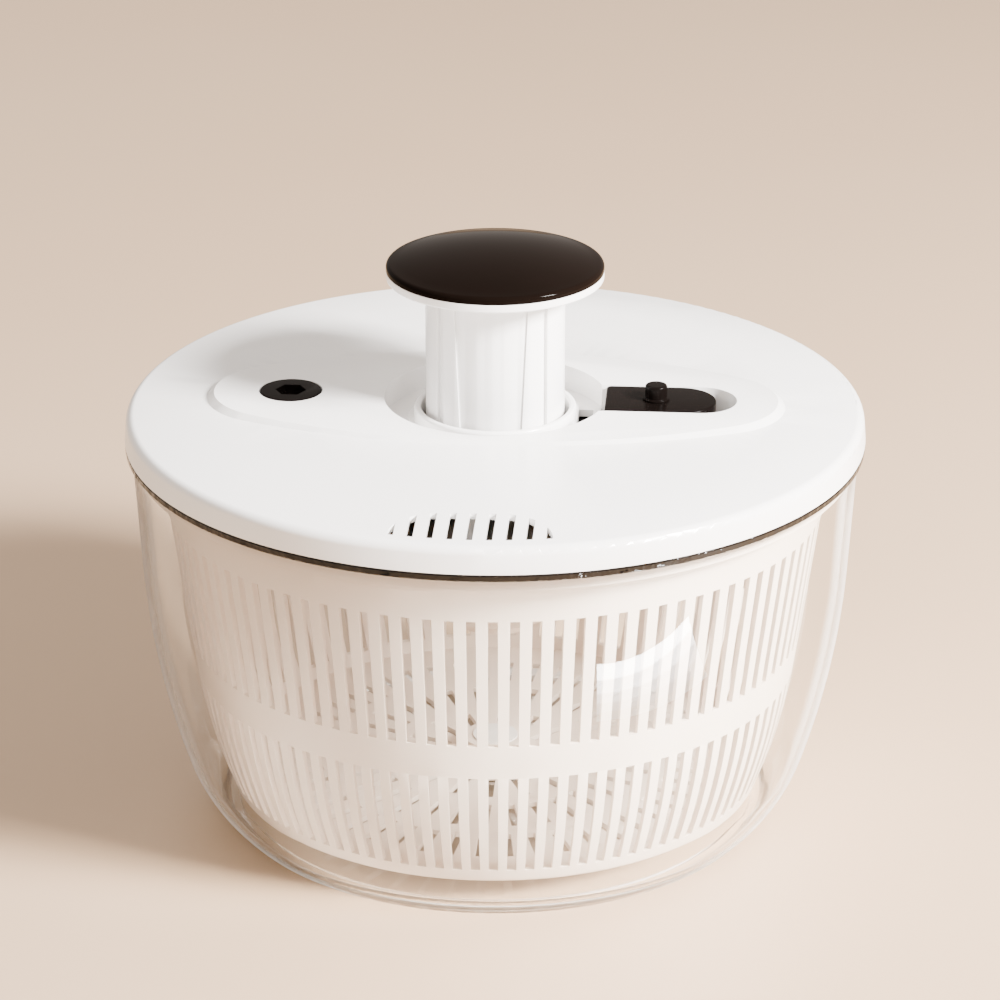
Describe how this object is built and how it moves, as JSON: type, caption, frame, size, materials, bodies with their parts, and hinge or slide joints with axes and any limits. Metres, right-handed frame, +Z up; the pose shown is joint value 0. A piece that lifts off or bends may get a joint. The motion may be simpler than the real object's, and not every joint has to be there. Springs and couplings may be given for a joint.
{
  "type": "salad spinner",
  "caption": "Pump-action salad spinner: clear bowl, slotted basket, white lid with a push knob, a lock slider, a brake button and pouring slots.",
  "frame": {"origin": "centre of the bowl foot, on the surface that the spinner stands on", "axes": "+Z up along the axis of the bowl, basket and plunger; +X from the axis to the lock slider; the pouring slots are at -Y"},
  "size_m": [0.255, 0.255, 0.2032],
  "materials": {
    "clear_plastic": "clear polished plastic",
    "basket_plastic": "satin white moulded plastic",
    "lid_plastic": "glossy white moulded plastic",
    "white_plastic": "plain white moulded plastic",
    "black_plastic": "polished black plastic",
    "screw_steel": "plain stainless steel",
    "spring_steel": "drawn stainless wire",
    "pad_rubber": "soft matt rubber"
  },
  "bodies": {
    "bowl": {"bowl": "clear_plastic"},
    "pivot_bush": {"basket_pivot_bush": "white_plastic"},
    "basket": {"basket": "basket_plastic"},
    "lid": {"lid_cover": "lid_plastic", "lid_underplate": "white_plastic", "lid_screws": "screw_steel", "guide_collar": "lid_plastic", "bearing_ring": "white_plastic", "spring_seat": "screw_steel", "return_spring": "spring_steel", "brake_spring": "spring_steel"},
    "drive_plate": {"drive_plate": "white_plastic", "plate_retainer": "white_plastic", "hub_cap": "white_plastic", "spindle_bush": "white_plastic", "clutch_ring": "white_plastic"},
    "spindle": {"spindle": "white_plastic", "clutch_driver": "white_plastic", "spindle_clip": "spring_steel"},
    "plunger": {"plunger_tube": "lid_plastic", "knob_flange": "lid_plastic", "knob_cap": "black_plastic", "knob_screws": "screw_steel", "drive_nut": "white_plastic", "nut_screws": "screw_steel"},
    "lock": {"lock_slider": "black_plastic", "lock_button": "black_plastic", "latch_plate": "black_plastic"},
    "brake": {"brake_button": "black_plastic", "brake_pad": "pad_rubber"}
  },
  "joints": [
    {"name": "basket_lift", "type": "slide", "parent": "bowl", "child": "pivot_bush", "axis": [0, 0, 1], "range_m": [0, 0.13]},
    {"name": "basket_spin", "type": "hinge", "parent": "pivot_bush", "child": "basket", "pos_m": [0, 0, 0.015], "axis": [0, 0, 1], "continuous": true},
    {"name": "lid_lift", "type": "slide", "parent": "bowl", "child": "lid", "axis": [0, 0, 1], "range_m": [0, 0.26]},
    {"name": "drive_plate_spin", "type": "hinge", "parent": "lid", "child": "drive_plate", "pos_m": [0, 0, 0.134], "axis": [0, 0, 1], "continuous": true},
    {"name": "plunger_slide", "type": "slide", "parent": "lid", "child": "plunger", "axis": [0, 0, -1], "range_m": [0, 0.046], "stiffness_N_per_m": 150, "springref_m": -0.04, "deforming": ["return_spring"]},
    {"name": "spindle_spin", "type": "hinge", "parent": "lid", "child": "spindle", "pos_m": [0, 0, 0.08], "axis": [0, 0, 1], "range_deg": [0, 451]},
    {"name": "lock_slide", "type": "slide", "parent": "lid", "child": "lock", "axis": [1, 0, 0], "range_m": [0, 0.007]},
    {"name": "brake_press", "type": "slide", "parent": "lid", "child": "brake", "axis": [0, 0, -1], "range_m": [0, 0.0025], "stiffness_N_per_m": 800, "springref_m": -0.001, "deforming": ["brake_spring"]}
  ],
  "couplings": [
    {"joint": "basket_lift", "follows": "lid_lift", "ratio": 0.5},
    {"joint": "drive_plate_spin", "follows": "basket_spin", "ratio": 1},
    {"joint": "spindle_spin", "follows": "plunger_slide", "rad_per_m": 170.74}
  ]
}
